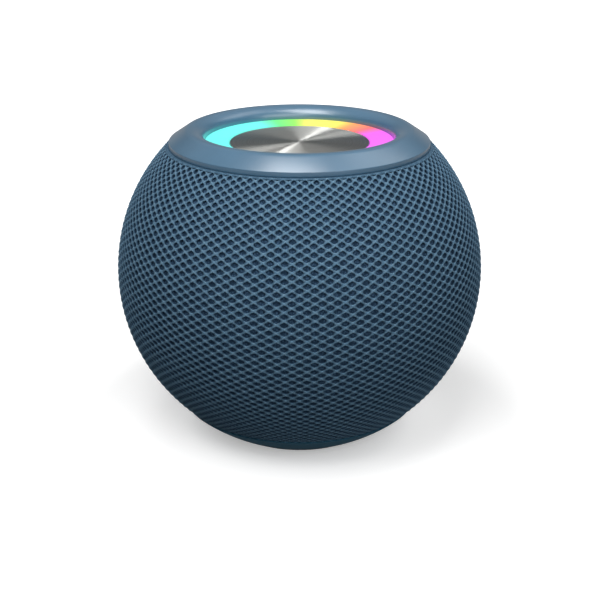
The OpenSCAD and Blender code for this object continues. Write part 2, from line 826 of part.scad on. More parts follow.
// Points of a flat strip's outline: one side out along the route, the other side back
function strip_side(p, d) = [for (i = [0:len(p) - 1]) let (t = heading(p, i)) p[i] + d * [-t.y, t.x]];

module button_ribbon() {
    start = [button_board_y * cos(panel_tilt) - 0.4, centre_z - button_board_y * sin(panel_tilt) + 5.5];
    route = [start, start + [-1.4, 2.4], [ribbon_y, centre_z + 6], [ribbon_y, deck_z + 1],
        [ribbon_y - 0.5, board_top + 0.2], [ribbon_y - 1.9, board_top + 0.9], [27.1, board_top + 0.7]];
    color("#d8dde2") translate([-ribbon_w / 2, 0, 0]) rotate([90, 0, 90]) linear_extrude(ribbon_w)
        polygon(concat(strip_side(route, ribbon_t / 2),
        [for (i = [len(route) - 1:-1:0]) strip_side(route, -ribbon_t / 2)[i]]));
}

// ---------- Driver, which faces down ----------

module baffle_plate() {
    nut_r = 1.7;
    nut_h = 2;
    color("#2c2f33") difference() {
        union() {
            band(baffle_r, basket_r + 0.2, baffle_z, split_z);
            at_polar(driver_screw_r, sides) post(nut_r, split_z - eps, split_z + nut_h);
        }
        at_polar(well_at_r, corners) post(housing_screw[0] + screw_fit, 0, far);
        at_polar(driver_screw_r, sides) post(driver_screw[0] + screw_fit, 0, far);
    }
}

// Wall of the basket as a section: a cone from the flange up to the magnet seat, with a spider ledge
module basket_section() {
    inner_r = basket_top_r - basket_t;
    ledge_r = spider_r - 0.6;
    ledge_t = 0.8;
    polygon([[basket_r - basket_t, baffle_z], [basket_r, baffle_z], [basket_top_r, basket_top],
        [basket_hole_r, basket_top], [basket_hole_r, basket_top - basket_t],
        [inner_r, basket_top - basket_t], [inner_r, spider_z], [ledge_r, spider_z],
        [ledge_r, spider_z - ledge_t], [basket_top_r - 0.6, spider_z - ledge_t]]);
}

module driver_basket() {
    lip_in_r = roll_at_r + roll_r - 0.1;
    windows = 6;
    window = [14, 8, 5];
    ear = [9, 7];
    color("#3a3d42") difference() {
        union() {
            band(driver_d / 2, lip_in_r, flange_z + skin_t, baffle_z);
            band(driver_d / 2, driver_screw_r - 1.2, flange_z, flange_z + skin_t + eps);
            rotate_extrude() basket_section();
            translate([-ear.x / 2, terminal_y - 0.2, basket_top - basket_t])
                cube([ear.x, ear.y, basket_t]);
        }
        for (i = [0:windows - 1]) rotate([0, 0, 360 * (i + 0.5) / windows])
            translate([spider_r - 2, -window.y / 2, baffle_z + 1.4]) cube(window);
        at_polar(driver_screw_r, sides) post(driver_screw[0] + 0.15, 0, baffle_z + 1);
        post(basket_hole_r, 0, basket_top - basket_t);
    }
}

module driver_top_plate() {
    color("#b0a878") band(plate_d / 2, gap_r, basket_top, magnet_z);
}

module driver_magnet() {
    color("#2b2b2d") band(magnet_d / 2, magnet_hole_d / 2, magnet_z, yoke_z);
}

module driver_yoke() {
    edge = 1.5;
    color("#b0a878") {
        post(magnet_d / 2 - edge, yoke_z, yoke_z + plate_t);
        post(pole_r, basket_top, yoke_z + eps);
    }
}

module coil_former() {
    color("#c9a35a") band(coil_r, coil_in_r, neck_z - 0.6, magnet_z + 1);
}

module voice_coil() {
    wire_t = 0.4;
    overhang_low = 0.5;
    overhang_top = 0.8;
    color("#b8682c") band(coil_r + wire_t, coil_r, basket_top - overhang_low, magnet_z + overhang_top);
}

module driver_cone() {
    color("#26282c") rotate_extrude() polygon([
        [coil_r, neck_z], [coil_r, neck_z - skin_t], [cone_r, skin_z], [cone_r, skin_z + skin_t]]);
}

module dust_cap() {
    cap_r = coil_r + 0.6;
    sag = 2.2;
    sheet = 0.4;
    ball = (cap_r * cap_r + sag * sag) / (2 * sag);
    seat = neck_z - skin_t - (cap_r - coil_r) * cone_depth / (cone_r - coil_r) - 0.02;
    color("#26282c") intersection() {
        translate([0, 0, seat - sag + ball]) difference() {
            sphere(r = ball);
            sphere(r = ball - sheet);
        }
        post(cap_r, seat - sag - 1, seat);
    }
}

// Half roll of rubber with a flat lip on each side, as a section that hangs below its lips
module roll_section(at_r, r) {
    difference() {
        translate([at_r, 0]) circle(r = r, $fn = 48);
        translate([at_r, 0]) circle(r = r - skin_t, $fn = 48);
        translate([at_r - far / 2, 0]) square([far, far]);
    }
    translate([at_r - r - skin_lip, -skin_t]) square([skin_lip + skin_t / 2, skin_t]);
    translate([at_r + r - skin_t / 2, -skin_t]) square([skin_lip + skin_t / 2, skin_t]);
}

module driver_surround() {
    color("#141416") translate([0, 0, skin_z]) rotate_extrude() roll_section(roll_at_r, roll_r);
}

// Corrugated disc that centres the voice coil
module driver_spider() {
    waves = 3;
    wave_h = 0.5;
    steps = 24;
    sheet = 0.35;
    in_r = coil_r + 0.05;
    wave = [for (i = [0:steps]) let (u = i / steps) [in_r + (spider_r - in_r) * u,
        spider_z + sheet + wave_h * (1 - cos(360 * waves * u)) / 2]];
    color("#b9b08f") rotate_extrude() polygon(concat(wave,
        [for (i = [steps:-1:0]) wave[i] - [0, sheet]]));
}

module driver_terminals() {
    strip = [8.4, 4.4, 0.9];
    tab = [2, 4.6, 0.5];
    color("#c9a35a") {
        translate([-strip.x / 2, terminal_y, basket_top]) cube(strip);
        for (x = [-terminal_x, terminal_x])
            translate([x - tab.x / 2, tab_y, basket_top + strip.z]) cube(tab);
    }
}

module driver_screws() {
    color("#b8b8b8") at_polar(driver_screw_r, sides)
        translate([0, 0, flange_z]) screw(driver_screw);
}

// Cone on the floor that turns the driver's sound outwards
module sound_guide() {
    foot_r = 24;
    tip_r = 2.5;
    tip_h = outlet_h - 4.4;
    steps = 10;
    side = [for (i = [0:steps]) let (t = i / steps)
        [foot_r + (tip_r - foot_r) * t, floor_z + 1 + (tip_h - 1) * t * t]];
    color("#2c2f33") rotate_extrude() polygon(concat([[0, floor_z], [foot_r, floor_z]], side,
        [[0, floor_z + tip_h]]));
}

// ---------- Passive radiators ----------

module radiator_frame(s) {
    rebate = 0.6;
    color("#3a3d42") radiator_side(s) difference() {
        band(radiator_d / 2, radiator_bore_r - 0.5, radiator_x - radiator_frame_t, radiator_x);
        post(radiator_bore_r + rebate, radiator_skin_x, radiator_x + 1);
        at_polar(radiator_screw_r, radiator_screw_angles) post(radiator_screw[0] + 0.1, 0, far);
    }
}

module radiator_surround(s) {
    at_r = radiator_plate_d / 2 + 0.1 + radiator_roll_r;
    color("#141416") radiator_side(s) translate([0, 0, radiator_skin_x]) mirror([0, 0, 1])
        rotate_extrude() roll_section(at_r, radiator_roll_r);
}

module radiator_plate(s) {
    plate_h = 0.8;
    weight_h = 2;
    weight_r = 6;
    color("#8a8f96") radiator_side(s) {
        post(radiator_plate_d / 2, radiator_skin_x - plate_h, radiator_skin_x);
        post(weight_r, radiator_skin_x - plate_h - weight_h, radiator_skin_x - plate_h + eps);
    }
}

module radiator_screws() {
    color("#b8b8b8") for (s = [-1, 1]) radiator_side(s)
        translate([0, 0, radiator_x - radiator_frame_t])
        at_polar(radiator_screw_r, radiator_screw_angles) screw(radiator_screw);
}

module left_radiator_frame() radiator_frame(-1);
module left_radiator_surround() radiator_surround(-1);
module left_radiator_plate() radiator_plate(-1);
module right_radiator_frame() radiator_frame(1);
module right_radiator_surround() radiator_surround(1);
module right_radiator_plate() radiator_plate(1);

// ---------- Rear panel ----------

// Shape cut out of something by a ball about the speaker's centre
module within_ball(r) {
    intersection() {
        children();
        sphere(r = r);
    }
}

// The two screw places of the panel
module at_panel_screws() {
    for (x = [-panel_screw_x, panel_screw_x]) translate([x, 0, -socket_drop]) children();
}

module control_panel() {
    rim = 3.4;
    mic_hole_r = 0.5;
    screw_bite = 3.4;
    color("#1b2a38") rear() difference() {
        union() {
            within_ball(panel_face_r) outwards(panel_back, far) stadium(panel_w, panel_h);
            at_panel_screws() outwards(button_board_y, panel_back + 1) circle(r = panel_boss_r);
        }
        difference() {
            within_ball(panel_in_r) outwards(0, far) stadium(panel_w - rim, panel_h - rim);
            at_panel_screws() outwards(0, far) circle(r = panel_boss_r);
        }
        at_panel_screws() outwards(0, button_board_y + screw_bite)
            circle(r = panel_screw[0] + screw_fit);
        for (x = button_x) translate([x, 0, button_up])
            outwards(0, far) circle(d = button_d + 2 * slip);
        translate([0, 0, -socket_drop]) {
            outwards(0, far) stadium(socket_w + 2 * slip, socket_h + 2 * slip);
            translate([-lens_x, 0, 0]) outwards(0, far) circle(r = lens_r + slip);
            translate([lens_x, 0, 0]) outwards(0, far) circle(r = mic_hole_r);
        }
    }
}

// Round button with a wider foot that stays behind the panel
module rear_button(i) {
    foot_edge = 0.6;
    gap = 0.1;
    color("#2c4258") rear() {
        within_ball(panel_face_r + button_proud) translate([button_x[i], 0, button_up])
            outwards(button_foot_y, far) circle(d = button_d);
        within_ball(panel_in_r - gap) translate([button_x[i], 0, button_up])
            outwards(button_foot_y, far) circle(d = button_d + 2 * foot_edge);
    }
}

module power_button() rear_button(0);
module volume_down_button() rear_button(1);
module play_button() rear_button(2);
module volume_up_button() rear_button(3);

module button_board() {
    edge = 0.5;
    color("#1d5a3a") rear() difference() {
        outwards(button_board_y - board_t, button_board_y)
            stadium(panel_w + 2 * edge, panel_h + 2 * edge);
        at_panel_screws() outwards(0, far) circle(r = panel_screw[0] + 0.15);
    }
}

module tact_switches() {
    body = [3, 1.5, 3];
    gap = 0.1;
    plunger_top = button_foot_y - button_travel - gap;
    color("#c4c6c8") rear() for (x = button_x) translate([x, 0, button_up]) {
        translate([-body.x / 2, button_board_y, -body.z / 2]) cube(body);
        outwards(button_board_y + body.y - eps, plunger_top) circle(r = 0.8);
    }
}

module usb_socket_shell() {
    sheet = 0.3;
    back_t = 0.6;
    color("#b4b6b8") rear() translate([0, 0, -socket_drop]) difference() {
        outwards(button_board_y, button_board_y + socket_l) stadium(socket_w, socket_h);
        outwards(button_board_y + back_t, far) stadium(socket_w - 2 * sheet, socket_h - 2 * sheet);
    }
}

module usb_socket_tongue() {
    size = [6.7, 5.4, 0.7];
    color("#202226") rear()
        translate([-size.x / 2, button_board_y + 0.6, -socket_drop - size.z / 2]) cube(size);
}

// Light pipe with a wide foot on the board
module status_lens() {
    foot_r = 1.2;
    foot_h = 1.6;
    sunk = 0.7;
    color("#f4f6f8") rear() translate([-lens_x, 0, -socket_drop]) {
        outwards(button_board_y, button_board_y + foot_h) circle(r = foot_r);
        outwards(button_board_y + foot_h - eps, panel_face_r - sunk) circle(r = lens_r);
    }
}

module microphone() {
    size = [2.2, 1, 2.8];
    color("#c9a35a") rear() translate([lens_x - size.x / 2, button_board_y, -socket_drop - size.z / 2])
        cube(size);
}

module panel_screws() {
    color("#b8b8b8") rear() at_panel_screws() translate([0, button_board_y - board_t, 0])
        rotate([-90, 0, 0]) screw(panel_screw);
}

fabric_cover();
top_bezel();
light_ring();
touch_disc();
touch_board();
light_tray();
led_board();
ring_leds();
tray_screws();
upper_housing();
lower_housing();
housing_gasket();
housing_screws();
base_shell();
base_screws();
foot_pad();
main_board();
processor_shield();
board_chips();
board_capacitors();
board_connectors();
board_screws();
battery_cell();
battery_cradle();
battery_leads();
speaker_leads();
button_ribbon();
baffle_plate();
driver_basket();
driver_top_plate();
driver_magnet();
driver_yoke();
coil_former();
voice_coil();
driver_cone();
dust_cap();
driver_surround();
driver_spider();
driver_terminals();
driver_screws();
sound_guide();
left_radiator_frame();
left_radiator_surround();
left_radiator_plate();
right_radiator_frame();
right_radiator_surround();
right_radiator_plate();
radiator_screws();
control_panel();
power_button();
volume_down_button();
play_button();
volume_up_button();
button_board();
tact_switches();
usb_socket_shell();
usb_socket_tongue();
status_lens();
microphone();
panel_screws();
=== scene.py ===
"""Ball-shaped smart speaker: its knitted cover, painted bezel, lit ring, spun disc and rear keys."""
from math import acos, asin, atan2, copysign, cos, hypot, pi, radians, sin, sqrt

import bmesh
import bpy
from mathutils import Matrix, Vector


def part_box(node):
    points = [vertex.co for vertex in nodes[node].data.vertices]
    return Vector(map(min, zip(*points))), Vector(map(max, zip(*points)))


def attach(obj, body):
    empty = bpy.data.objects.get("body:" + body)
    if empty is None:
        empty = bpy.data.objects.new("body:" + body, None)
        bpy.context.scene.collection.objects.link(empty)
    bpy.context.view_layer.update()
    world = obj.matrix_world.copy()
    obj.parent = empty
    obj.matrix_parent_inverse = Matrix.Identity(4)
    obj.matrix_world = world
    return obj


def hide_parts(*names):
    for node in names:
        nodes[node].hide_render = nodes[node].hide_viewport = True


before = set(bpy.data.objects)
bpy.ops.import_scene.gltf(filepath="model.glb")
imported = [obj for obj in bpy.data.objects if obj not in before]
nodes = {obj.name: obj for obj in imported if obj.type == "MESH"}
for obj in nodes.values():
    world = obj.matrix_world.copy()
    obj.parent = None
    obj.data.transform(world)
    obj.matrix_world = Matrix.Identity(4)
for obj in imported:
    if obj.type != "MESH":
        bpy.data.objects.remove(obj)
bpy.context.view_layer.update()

MM = 0.001
scene = bpy.context.scene

# Sizes of the ball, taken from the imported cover; the ball's centre stands above the table
cover_low, cover_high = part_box("fabric_cover")
BALL_R = (cover_high.x - cover_low.x) / 2
COVER_BOTTOM = cover_low.z
COVER_TOP = cover_high.z
BALL_Z = 45.43 * MM
BALL = Vector((0, 0, BALL_Z))

# The rear panel leans down a little; its opening in the cloth is a little larger than the panel
REAR = Matrix.Rotation(-radians(10), 3, "X")
OPENING_W = 36.6 * MM
OPENING_H = 17.6 * MM


# ---------- Materials ----------

def colour(hexa):
    """An sRGB hex colour as the linear one that Blender works with."""
    parts = [int(hexa[i:i + 2], 16) / 255 for i in (1, 3, 5)]
    return tuple(c / 12.92 if c <= 0.04045 else ((c + 0.055) / 1.055) ** 2.4 for c in parts) + (1,)


def add(tree, kind, inputs=(), stops=(), **settings):
    """A node with its settings, and its inputs as values or as links; stops are a ramp's (place, colour)."""
    node = tree.nodes.new("ShaderNode" + kind)
    for name, value in settings.items():
        setattr(node, name, value)
    for name, value in dict(inputs).items():
        if isinstance(value, bpy.types.NodeSocket):
            tree.links.new(value, node.inputs[name])
        else:
            node.inputs[name].default_value = value
    for i, (position, hexa) in enumerate(stops):
        element = node.color_ramp.elements[i] if i < 2 else node.color_ramp.elements.new(position)
        element.position = position
        element.color = colour(hexa)
    return node


def start(name, **shader):
    """A new material: its tree, its shader with constant settings, and the object's coordinates."""
    material = bpy.data.materials.new(name)
    material.use_nodes = True
    tree = material.node_tree
    bsdf = tree.nodes["Principled BSDF"]
    for socket, value in shader.items():
        bsdf.inputs[socket.replace("_", " ")].default_value = value
    return material, tree, bsdf, add(tree, "TexCoord").outputs["Object"]


def tint(tree, bsdf, pattern, dark, light, low=0.3, high=0.7):
    """Colours the surface between two colours by a pattern."""
    shade = add(tree, "ValToRGB", {"Fac": pattern}, stops=[(low, dark), (high, light)])
    tree.links.new(shade.outputs["Color"], bsdf.inputs["Base Color"])


def relief(tree, bsdf, pattern, depth_mm, rough=None):
    """Raises the surface by a pattern, and varies its roughness with it."""
    bump = add(tree, "Bump", {"Height": pattern, "Distance": depth_mm * MM, "Strength": 1.0})
    tree.links.new(bump.outputs["Normal"], bsdf.inputs["Normal"])
    if rough:
        spread = add(tree, "MapRange", {"Value": pattern, "To Min": rough[0], "To Max": rough[1]})
        tree.links.new(spread.outputs["Result"], bsdf.inputs["Roughness"])


def moulded(name, dark, light, rough, grain=(0.35, 0.004), stretch=(1, 1, 1), cloud_mm=9.0, **shader):
    """Surface with a fine grain of (size, depth) in mm, uneven gloss, and a slow change of colour."""
    material, tree, bsdf, place = start(name, **shader)
    clouds = add(tree, "TexNoise", {"Vector": place, "Scale": 1 / (cloud_mm * MM), "Detail": 4.0})
    tint(tree, bsdf, clouds.outputs["Fac"], dark, light)
    drawn = add(tree, "Mapping", {"Vector": place, "Scale": stretch})
    grit = add(tree, "TexNoise", {"Vector": drawn.outputs["Vector"], "Scale": 1 / (grain[0] * MM), "Detail": 3.0})
    relief(tree, bsdf, grit.outputs["Fac"], grain[1], rough)
    return material


def banded(name, dark, light, rough, pitch_mm, depth_mm, axis="Z", **shader):
    """Surface with even bands across an axis, such as wound wire or film with tracks in it."""
    material, tree, bsdf, place = start(name, **shader)
    # A wave repeats 20 / pi times its scale in a metre, so this scale gives the pitch
    bands = add(tree, "TexWave", {"Vector": place, "Scale": pi / (10 * pitch_mm * MM), "Distortion": 0.3},
        bands_direction=axis)
    tint(tree, bsdf, bands.outputs["Fac"], dark, light, 0.2, 0.8)
    relief(tree, bsdf, bands.outputs["Fac"], depth_mm, rough)
    return material


def celled(name, dark, light, rough, cell_mm, depth_mm, feature="F1", **shader):
    """Surface of small cells, such as foam pores, pressed fibres or the eyes of a weave."""
    material, tree, bsdf, place = start(name, **shader)
    cells = add(tree, "TexVoronoi", {"Vector": place, "Scale": 1 / (cell_mm * MM)}, feature=feature)
    tint(tree, bsdf, cells.outputs["Distance"], dark, light, 0.1, 0.6)
    relief(tree, bsdf, cells.outputs["Distance"], depth_mm, rough)
    return material


def circuit_board(name, mask, track):
    """Glass-fibre laminate under solder mask: copper tracks about 0.6 mm wide show through it."""
    material, tree, bsdf, place = start(name, Coat_Weight=0.4, Coat_Roughness=0.2)
    tracks = add(tree, "TexBrick", {"Vector": place, "Scale": 1 / (4 * MM), "Mortar Size": 0.07,
        "Mortar Smooth": 0.1, "Brick Width": 1.3, "Row Height": 0.45, "Color1": colour(mask),
        "Color2": colour(mask), "Mortar": colour(track)})
    tree.links.new(tracks.outputs["Color"], bsdf.inputs["Base Color"])
    relief(tree, bsdf, tracks.outputs["Fac"], 0.03, (0.35, 0.45))
    return material


def dyed_and_shaded_polyester_yarn(name, shade_depth_mm=0, dark="#44647c", light="#7993a4", mid="#5c7e97"):
    """Warp-knitted polyester yarn: matt, specked by loose fibres; given a depth, painted shade darkens the rib
    sides.
    """
    material, tree, bsdf, place = start(name, Sheen_Weight=0.2, Sheen_Roughness=0.4,
        Sheen_Tint=colour("#7fa0b8"), Specular_IOR_Level=0.12, Roughness=0.85)
    # Yarn is about 0.3 mm thick and its fibres are bundled; loose fibres make specks
    fibre = add(tree, "TexNoise", {"Vector": place, "Scale": 1 / (0.3 * MM), "Detail": 4.0, "Roughness": 0.65})
    shade = add(tree, "ValToRGB", {"Fac": fibre.outputs["Fac"]},
        stops=[(0.3, dark), (0.7, light), (0.5, mid)])
    if shade_depth_mm:
        # Painted shade: the deeper under the ball's surface, the more the yarn is mixed towards dark blue, for
        # rib sides and holes
        centred = add(tree, "VectorMath", {0: place, 1: BALL}, operation="SUBTRACT")
        radius = add(tree, "VectorMath", {0: centred.outputs["Vector"]}, operation="LENGTH")
        crest = add(tree, "MapRange", {"Value": radius.outputs["Value"], "From Min": BALL_R - shade_depth_mm * MM,
            "From Max": BALL_R - 0.04 * MM}, interpolation_type="SMOOTHSTEP")
        shade = add(tree, "Mix", {"Factor": crest.outputs["Result"], 6: colour("#263d52"),
            7: shade.outputs["Color"]}, data_type="RGBA")
    tree.links.new(shade.outputs[2 if shade_depth_mm else 0], bsdf.inputs["Base Color"])
    bump = add(tree, "Bump", {"Height": fibre.outputs["Fac"], "Distance": 0.06 * MM, "Strength": 0.7})
    tree.links.new(bump.outputs["Normal"], bsdf.inputs["Normal"])
    return material


def frosted_polycarbonate():
    """Frosted polycarbonate over coloured lights: an even glow that changes colour round the ring."""
    material, tree, bsdf, place = start("frosted_polycarbonate", Roughness=0.45, Emission_Strength=0.95)
    axes = add(tree, "SeparateXYZ", {"Vector": place})
    angle = add(tree, "Math", {0: axes.outputs["X"], 1: axes.outputs["Y"]}, operation="ARCTAN2")
    turn = add(tree, "MapRange", {"Value": angle.outputs["Value"], "From Min": -pi, "From Max": pi})
    glow = add(tree, "ValToRGB", {"Fac": turn.outputs["Result"]}, stops=[
        (0.0, "#4a6cf5"), (1.0, "#4a6cf5"), (0.12, "#3fb8f0"), (0.2, "#66efe6"), (0.42, "#6cf2e4"),
        (0.455, "#6cf082"), (0.49, "#90ee5a"), (0.517, "#f4f666"), (0.577, "#fdee62"), (0.607, "#ffa25e"),
        (0.65, "#ff7270"), (0.686, "#ee62ea"), (0.82, "#f066f8"), (0.9, "#a35cf6")])
    frost = add(tree, "TexNoise", {"Vector": place, "Scale": 1 / (1.5 * MM), "Detail": 2.0})
    haze = add(tree, "MapRange", {"Value": frost.outputs["Fac"], "To Min": 0.97, "To Max": 1.0})
    even = add(tree, "Mix", {"Factor": haze.outputs["Result"], 6: (1, 1, 1, 1), 7: glow.outputs["Color"]},
        data_type="RGBA")
    tree.links.new(even.outputs[2], bsdf.inputs["Emission Color"])
    # Painted glow: the diffuser's own colour is a dim copy of its lights' colours, not the milky white of the
    # plastic
    shade = add(tree, "Mix", {"Factor": 0.25, 6: (0, 0, 0, 1), 7: glow.outputs["Color"]}, data_type="RGBA")
    tree.links.new(shade.outputs[2], bsdf.inputs["Base Color"])
    return material


def spun_aluminium():
    """Aluminium turned on a lathe: its fine rings stretch each highlight into a streak across the disc."""
    material, tree, bsdf, place = start("spun_aluminium", Metallic=1.0, Roughness=0.28, Anisotropic=0.98,
        Anisotropic_Rotation=0.25)
    tangent = add(tree, "Tangent", direction_type="RADIAL", axis="Z")
    tree.links.new(tangent.outputs["Tangent"], bsdf.inputs["Tangent"])
    flat = add(tree, "VectorMath", {0: place, 1: (1, 1, 0)}, operation="MULTIPLY")
    radius = add(tree, "VectorMath", {0: flat.outputs["Vector"]}, operation="LENGTH")
    # Turning marks are about 0.05 mm apart; they are drawn every 0.25 mm so that they show
    marks = add(tree, "TexNoise", {"W": radius.outputs["Value"], "Scale": 1 / (0.25 * MM), "Detail": 2.0},
        noise_dimensions="1D")
    tint(tree, bsdf, marks.outputs["Fac"], "#b0b0ac", "#cacac6")
    relief(tree, bsdf, marks.outputs["Fac"], 0.002)
    return material


# Finish of each kind of piece, by the name of its slot
finishes = {
    "knit": dyed_and_shaded_polyester_yarn("dyed_and_shaded_polyester_yarn", 0.34),
    "diffuser": frosted_polycarbonate(),
    "disc_metal": spun_aluminium(),
    # Satin paint sprayed on ABS: soft wide highlights over a clean colour
    "bezel_plastic": moulded("satin_painted_abs", "#3a6480", "#3f6a87", (0.31, 0.37), (0.25, 0.002),
        Specular_IOR_Level=0.9, Coat_Weight=1.0, Coat_Roughness=0.28),
    # ABS moulded in deep blue against a blasted tool: dull, with hardly any shine
    "base_plastic": moulded("moulded_blue_abs", "#336882", "#39718c", (0.55, 0.65), (0.3, 0.004),
        Specular_IOR_Level=0.2),
    # ABS moulded against an etched tool: the panel's fine leathery grain
    "panel_plastic": moulded("etch_grained_blue_abs", "#1c2f40", "#22374a", (0.45, 0.6), (0.4, 0.02),
        Specular_IOR_Level=0.3),
    # Silicone rubber keys, moulded: soft sheen, a touch lighter than the panel
    "button_rubber": moulded("moulded_blue_silicone", "#2b4258", "#324a61", (0.5, 0.62), (0.3, 0.006),
        Specular_IOR_Level=0.35),
    # Silicone rubber, moulded black: dusty and dull underfoot
    "foot_rubber": moulded("moulded_black_silicone", "#17191c", "#222528", (0.65, 0.8), (0.5, 0.02), cloud_mm=4),
    # Acrylic light pipe with a matted end: milky, waiting for its light
    "lens_plastic": moulded("matted_acrylic", "#c3ccd0", "#dde3e5", (0.2, 0.32), (0.2, 0.003), cloud_mm=0.8,
        Coat_Weight=0.3),
    # Steel drawn to shape and nickel plated: bright and slightly warm, with fine draw lines
    "steel": moulded("nickel_plated_steel", "#b5b2aa", "#cdcac2", (0.2, 0.34), (0.15, 0.002), (1, 0.1, 1),
        Metallic=1.0),
    # Steel screws, cold headed and zinc plated: cool grey
    "screw_steel": moulded("zinc_plated_screw_steel", "#9da2a6", "#bfc3c6", (0.25, 0.42), (0.2, 0.004),
        cloud_mm=2, Metallic=1.0),
    # Mild steel, turned and zinc plated, with a faint yellow bloom
    "plate_steel": moulded("zinc_plated_mild_steel", "#94978f", "#b3b4a6", (0.3, 0.45), (0.3, 0.004),
        (0.2, 0.2, 1), cloud_mm=6, Metallic=1.0),
    # ABS with glass fibre, moulded black: flow lines and dull fibre specks
    "housing_plastic": moulded("glass_filled_black_abs", "#1c1f23", "#2a2d32", (0.45, 0.62), (0.5, 0.012)),
    # Polypropylene, moulded dark grey: waxy
    "inner_plastic": moulded("moulded_grey_polypropylene", "#282b2f", "#35383d", (0.4, 0.52), (0.6, 0.006)),
    # ABS moulded white, so that the tray throws the light back up
    "white_plastic": moulded("moulded_white_abs", "#e2e2de", "#efefeb", (0.38, 0.5), (0.5, 0.004)),
    # Closed-cell foam, cut from sheet: open pores on its cut face
    "seal_rubber": celled("die_cut_foam_rubber", "#131415", "#2a2c2e", (0.75, 0.9), 0.5, 0.08),
    "board_laminate": circuit_board("green_masked_fibreglass", "#14532f", "#2c7a4a"),
    "white_board_laminate": circuit_board("white_masked_fibreglass", "#e4e6e2", "#cfd2cc"),
    # Clear resin over yellow phosphor, cast into a white frame
    "led_package": celled("cast_led_resin", "#efe2a0", "#f2efe2", (0.25, 0.4), 0.9, 0.01),
    # Epoxy filled with silica, moulded black: fine even grit
    "chip_epoxy": moulded("moulded_black_epoxy", "#17181a", "#232527", (0.5, 0.65), (0.12, 0.006)),
    # Aluminium cans, deep drawn: lines run up the sides
    "capacitor_can": moulded("drawn_aluminium", "#a9abad", "#c9cbcc", (0.28, 0.42), (0.15, 0.003), (1, 1, 0.1),
        Metallic=1.0),
    # Nylon, moulded in its own cream colour
    "connector_plastic": moulded("moulded_nylon", "#d6cfb9", "#e6e0cc", (0.4, 0.5), (0.3, 0.004)),
    # PVC sleeve shrunk over the cell: glossy, with faint shrink folds along it
    "cell_wrap": moulded("shrunk_pvc_sleeve", "#27598a", "#3270a6", (0.22, 0.34), (1.2, 0.03), (1, 0.15, 1)),
    # Silicone insulation, extruded over the wire: smooth and slightly dusty
    "red_wire": moulded("extruded_red_silicone", "#9c1b1b", "#b82a26", (0.4, 0.52), (0.3, 0.005), cloud_mm=3),
    "black_wire": moulded("extruded_black_silicone", "#131416", "#202225", (0.4, 0.52), (0.3, 0.005), cloud_mm=3),
    # Polyester film laminated over tinned tracks, 0.5 mm apart
    "ribbon_film": banded("laminated_polyester_film", "#b9c0c6", "#e8eaec", (0.3, 0.4), 0.5, 0.02, "X"),
    # Steel stamped to shape and powder coated: slight orange peel
    "basket_metal": moulded("powder_coated_steel", "#191a1c", "#26282a", (0.42, 0.56), (0.5, 0.02)),
    # Ferrite, pressed, sintered and ground: dull, with short grinding marks
    "ferrite": moulded("sintered_ferrite", "#2b2c2e", "#3c3d40", (0.6, 0.75), (0.25, 0.01), (1, 0.25, 1)),
    # Kraft paper, wound and varnished
    "former_paper": celled("wound_kraft_paper", "#8f6e42", "#b8955f", (0.6, 0.75), 0.4, 0.02),
    # Enamelled copper wire, wound in turns 0.25 mm apart
    "copper_wire": banded("wound_copper_wire", "#9c4a24", "#cf7842", (0.25, 0.35), 0.25, 0.08, Metallic=1.0),
    # Paper pulp pressed to shape: felted short fibres
    "cone_paper": celled("pressed_paper_pulp", "#26272a", "#404247", (0.7, 0.85), 0.6, 0.04),
    # Butyl rubber, moulded thin: black, with a soft shine on the roll
    "surround_rubber": moulded("moulded_butyl_rubber", "#141517", "#1f2123", (0.42, 0.55), (0.4, 0.006)),
    # Cotton cloth dipped in phenolic resin and pressed: amber, with the weave showing
    "spider_cloth": celled("resin_dipped_cotton", "#7d5a22", "#c79c50", (0.65, 0.8), 0.4, 0.06),
    # Brass tags, stamped and tin plated at the ends
    "terminal_brass": moulded("stamped_brass", "#b39142", "#d3b468", (0.25, 0.4), (0.2, 0.003), cloud_mm=2,
        Metallic=1.0),
    # Aluminium weight plate, blasted and clear anodised: even pale grey
    "radiator_metal": moulded("blasted_aluminium", "#8c9093", "#a9adb0", (0.45, 0.6), (0.15, 0.006),
        Metallic=1.0),
    # Nickel-plated brass can with a dull blasted top
    "mic_can": moulded("nickel_plated_brass", "#b8b2a2", "#d0cabb", (0.3, 0.42), (0.15, 0.003), Metallic=1.0),
}

for node in nodes.values():
    slot = node.data.materials[0].name.split(".")[0]
    node.data.materials.clear()
    node.data.materials.append(finishes[slot])

# Cloth woven tightly under the open knit: nearly black blue, with fine eyes 0.5 mm apart
lining_cloth = celled("woven_polyester_lining", "#456280", "#263c52", (0.85, 0.95), 0.5, 0.05,
    Specular_IOR_Level=0.1)
# The same yarn where the cloth is folded at its edges, with no open ribs; its deeper colours are painted shade
# for the folds
shaded_folded_cloth = dyed_and_shaded_polyester_yarn("shaded_folded_polyester_knit", dark="#2b4459", light="#4d6b82", mid="#3a566c")


# ---------- Knitted cover ----------

COLUMNS = 83
ROWS = 38
# Latitudes of the cover's two edges
PHI_TOP = asin((COVER_TOP - BALL_Z) / BALL_R)
PHI_LOW = asin((COVER_BOTTOM - BALL_Z) / BALL_R)
# Ribs dip between the crossings, and the lining lies under the open knit
RIB_DIP = 0.17 * MM
LINING_MM = 0.75


def on_ball(theta, phi, depth_mm):
    """Point at a depth under the ball's surface; theta 0 is the front and phi is the latitude."""
    r = BALL_R - depth_mm * MM
    return BALL + Vector((r * cos(phi) * sin(theta), -r * cos(phi) * cos(theta), r * sin(phi)))


def smooth_object(name, bm, material):
    """Turns a bmesh into a smooth object with one material."""
    mesh = bpy.data.meshes.new(name)
    bm.to_mesh(mesh)
    bm.free()
    mesh.materials.append(material)
    mesh.shade_smooth()
    piece = bpy.data.objects.new(name, mesh)
    scene.collection.objects.link(piece)
    return piece


def finish_piece(name, bm, material, body="speaker"):
    """Turns a bmesh into a piece that rides on a body."""
    piece = smooth_object(name, bm, material)
    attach(piece, body)
    return piece


